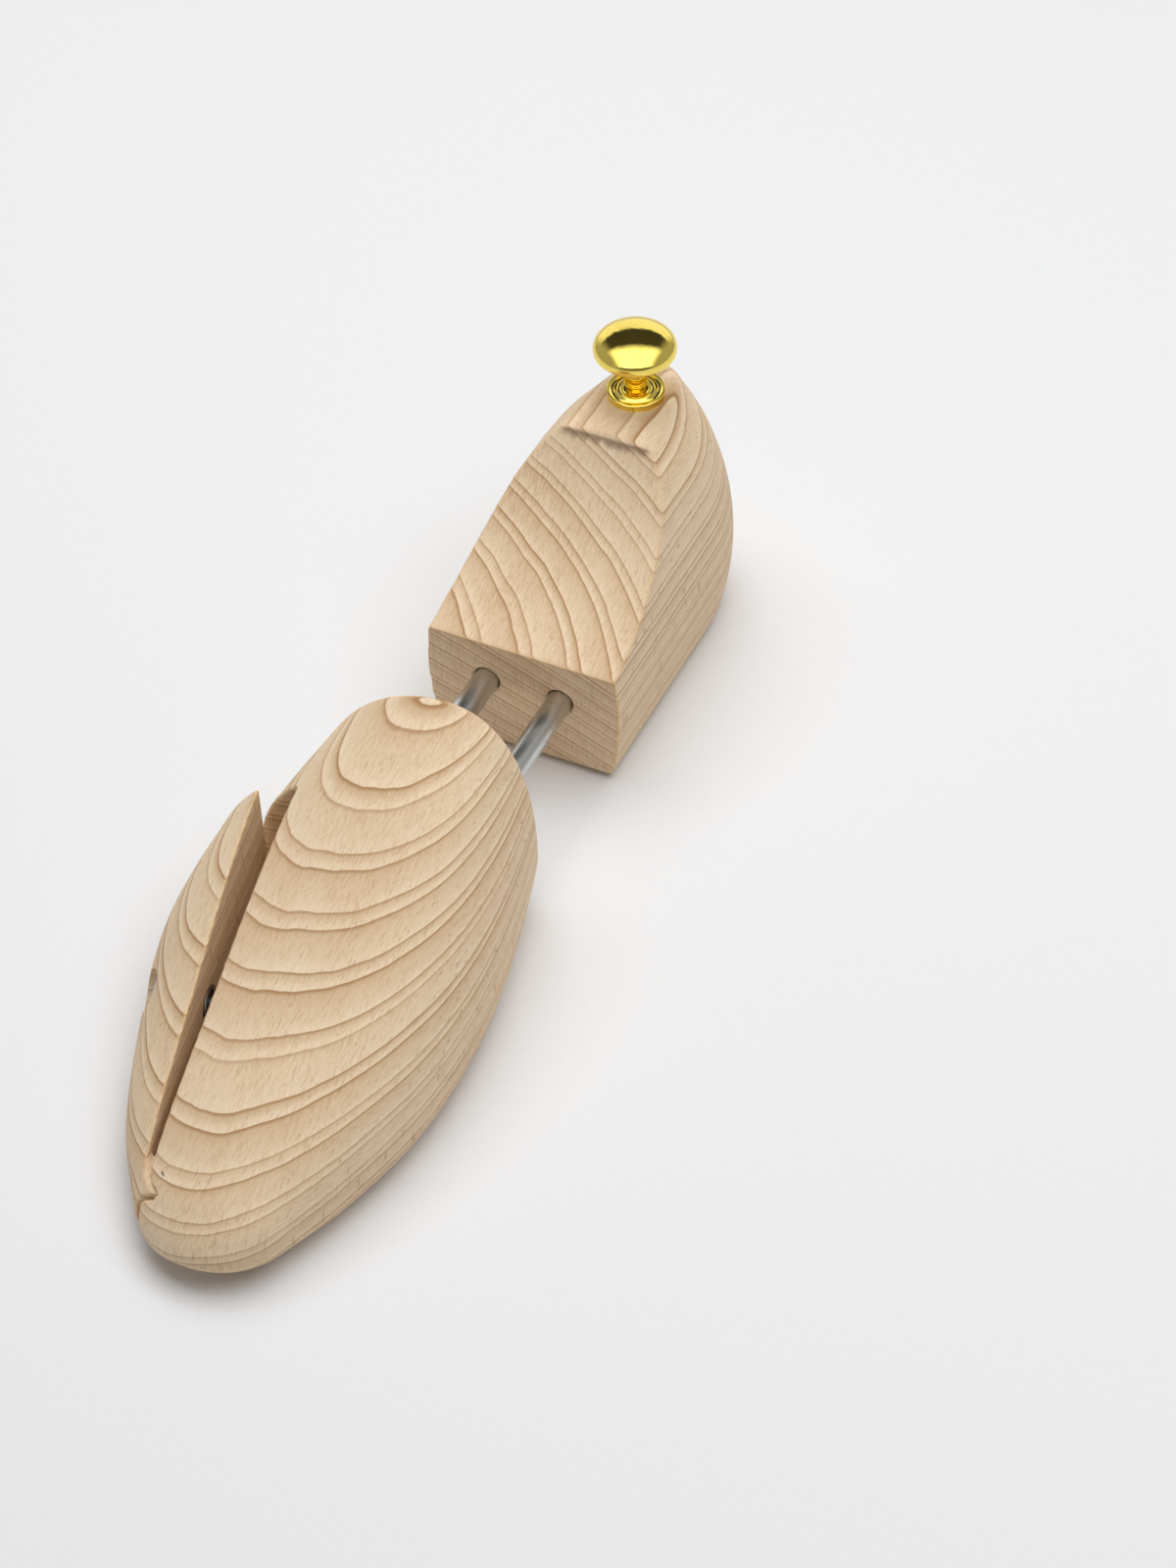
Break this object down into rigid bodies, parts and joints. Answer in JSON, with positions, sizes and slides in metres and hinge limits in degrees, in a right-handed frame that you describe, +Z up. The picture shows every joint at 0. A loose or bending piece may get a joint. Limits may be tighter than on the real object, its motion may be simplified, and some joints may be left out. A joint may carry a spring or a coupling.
{
  "type": "shoe tree",
  "caption": "Beech shoe tree for a right shoe: forepart with a sprung side wing, twin sprung steel tubes, and a hollow-ramped heel block with a polished brass knob.",
  "frame": {"origin": "centre of the footprint of the free-standing tree, on the surface that it stands on", "axes": "-Y to the toe, +Y to the heel, +X to the inner side of the foot, +Z up"},
  "size_m": [0.0894, 0.2976, 0.0927],
  "materials": {
    "beech": "raw sanded beech, no varnish",
    "polished_brass": "polished, with fine handling marks",
    "bright_steel": "bright nickel plate",
    "spring_steel": "drawn spring wire",
    "nylon": "natural nylon"
  },
  "bodies": {
    "forepart": {"forepart_block": "beech", "outer_tube_medial": "bright_steel", "outer_tube_lateral": "bright_steel", "tube_bush_medial": "nylon", "tube_bush_lateral": "nylon", "tube_end_plug_medial": "nylon", "tube_end_plug_lateral": "nylon", "tube_spring_medial": "spring_steel", "tube_spring_lateral": "spring_steel", "forepart_pin_medial": "bright_steel", "forepart_pin_lateral": "bright_steel", "hinge_pin": "bright_steel", "guide_bolt": "bright_steel", "bolt_washer": "bright_steel", "wing_spring": "spring_steel"},
    "heel": {"heel_block": "beech", "knob": "polished_brass", "knob_rosette": "polished_brass", "knob_hanger_bolt": "bright_steel", "inner_tube_medial": "bright_steel", "inner_tube_lateral": "bright_steel", "heel_pin_medial": "bright_steel", "heel_pin_lateral": "bright_steel", "piston_medial": "nylon", "piston_lateral": "nylon"},
    "wing": {"wing": "beech"}
  },
  "joints": [
    {"name": "tube_slide", "type": "slide", "parent": "forepart", "child": "heel", "axis": [0, 1, 0], "range_m": [-0.036, 0], "stiffness_N_per_m": 1200, "springref_m": 0.012, "deforming": ["tube_spring_medial", "tube_spring_lateral"]},
    {"name": "wing_hinge", "type": "hinge", "parent": "forepart", "child": "wing", "pos_m": [-0.00201, -0.13217, 0.0125], "axis": [0, 0, 1], "range_deg": [-4.5, 0], "stiffness_Nm_per_rad": 4, "springref_deg": 1.72, "deforming": ["wing_spring"]}
  ]
}
